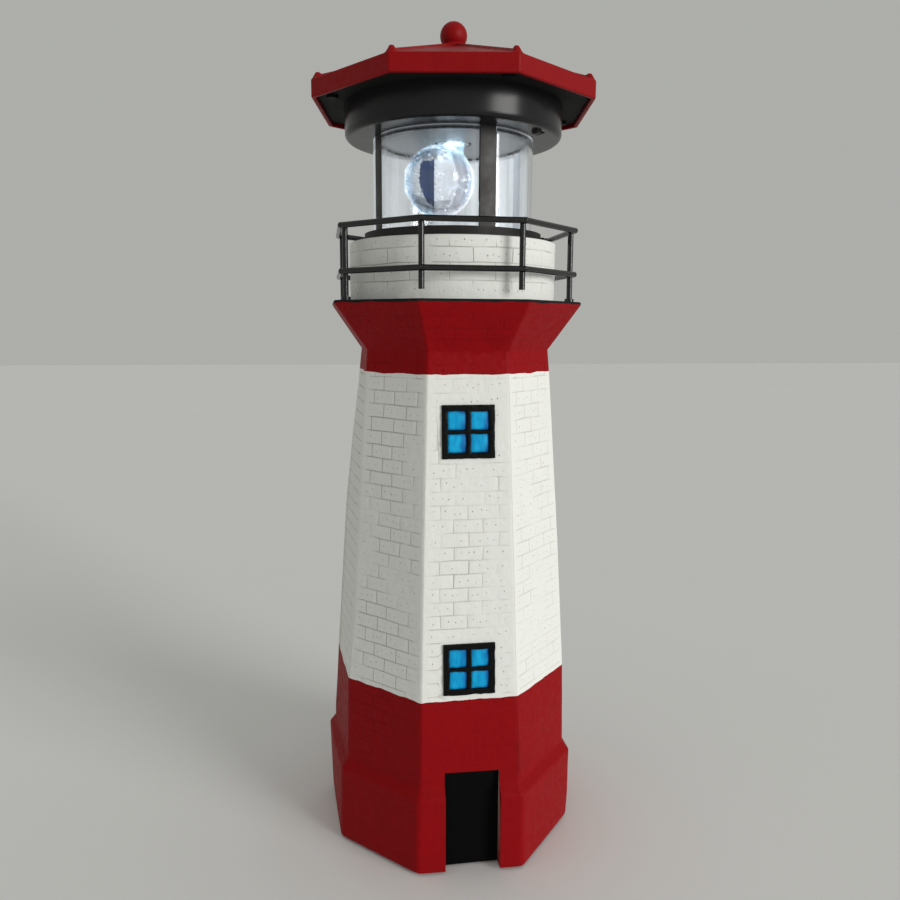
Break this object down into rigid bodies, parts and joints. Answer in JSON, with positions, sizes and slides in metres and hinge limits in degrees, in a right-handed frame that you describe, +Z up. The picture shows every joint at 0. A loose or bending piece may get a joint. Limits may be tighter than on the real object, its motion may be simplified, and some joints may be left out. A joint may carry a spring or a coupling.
{
  "type": "garden lighthouse ornament",
  "caption": "Octagonal cast-resin garden lighthouse with wire gallery railing and a lift-off solar lamp head, whose clear ball lens turns round a light inside a mullioned lantern.",
  "frame": {"origin": "on the ground below the tower's axis", "axes": "+Z up the tower, the door and windows face -Y, +X to the right seen from the front"},
  "size_m": [0.1212, 0.1212, 0.36],
  "materials": {
    "cast_resin": "matte",
    "door_paint": "matte",
    "window_black": "satin",
    "pane_blue": "gloss",
    "base_plastic": "matte",
    "steel_screw": "satin",
    "pad_rubber": "matte",
    "railing_black": "gloss",
    "lantern_black": "gloss",
    "lantern_clear": "gloss",
    "ceiling_white": "satin",
    "drum_black": "gloss",
    "roof_red": "satin",
    "solar_cell": "gloss",
    "motor_steel": "satin",
    "bracket_zinc": "satin",
    "gear_white": "satin",
    "lens_clear": "polished",
    "led_white": "gloss",
    "board_green": "satin",
    "bridge_white": "satin",
    "cell_green": "gloss",
    "cradle_black": "matte",
    "contact_nickel": "satin",
    "switch_metal": "satin",
    "knob_black": "matte",
    "lead_red": "satin",
    "lead_yellow": "satin",
    "lead_white": "satin",
    "lead_blue": "satin"
  },
  "bodies": {
    "tower": {"tower_casting": "cast_resin", "door_panel": "door_paint", "upper_window_frame": "window_black", "upper_window_panes": "pane_blue", "lower_window_frame": "window_black", "lower_window_panes": "pane_blue", "base_plate": "base_plastic", "base_screws": "steel_screw", "foot_pads": "pad_rubber", "railing_posts": "railing_black", "top_rail": "railing_black", "mid_rail": "railing_black"},
    "lamp_head": {"lantern_base": "lantern_black", "lantern_window": "lantern_clear", "ceiling_reflector": "ceiling_white", "drum_housing": "drum_black", "roof_shell": "roof_red", "roof_screws": "steel_screw", "finial": "roof_red", "solar_panels": "solar_cell", "gearmotor": "motor_steel", "motor_bracket": "bracket_zinc", "motor_screws": "steel_screw", "led": "led_white", "led_board": "board_green", "led_bridge": "bridge_white", "bridge_screws": "steel_screw", "control_board": "board_green", "battery_cell": "cell_green", "battery_cradle": "cradle_black", "battery_contacts": "contact_nickel", "switch_body": "switch_metal", "solar_leads": "lead_red", "battery_leads": "lead_red", "motor_leads": "lead_yellow", "led_leads": "lead_white", "switch_leads": "lead_blue"},
    "beacon": {"lens_carrier": "gear_white", "ball_lens": "lens_clear"},
    "motor_rotor": {"motor_shaft": "motor_steel", "motor_pinion": "gear_white"},
    "switch_slider": {"switch_knob": "knob_black"}
  },
  "joints": [
    {"name": "head_lift", "type": "slide", "parent": "tower", "child": "lamp_head", "axis": [0, 0, 1], "range_m": [0, 0.06]},
    {"name": "beacon_spin", "type": "hinge", "parent": "lamp_head", "child": "beacon", "pos_m": [0, 0, 0.3127], "axis": [0, 0, 1], "continuous": true},
    {"name": "motor_spin", "type": "hinge", "parent": "lamp_head", "child": "motor_rotor", "pos_m": [0.00375, 0.0237, 0.3127], "axis": [0, 0, 1], "continuous": true},
    {"name": "switch_slide", "type": "slide", "parent": "lamp_head", "child": "switch_slider", "axis": [0.6691, 0.7431, 0], "range_m": [0, 0.003]}
  ],
  "couplings": [
    {"joint": "motor_spin", "follows": "beacon_spin", "ratio": -4}
  ]
}
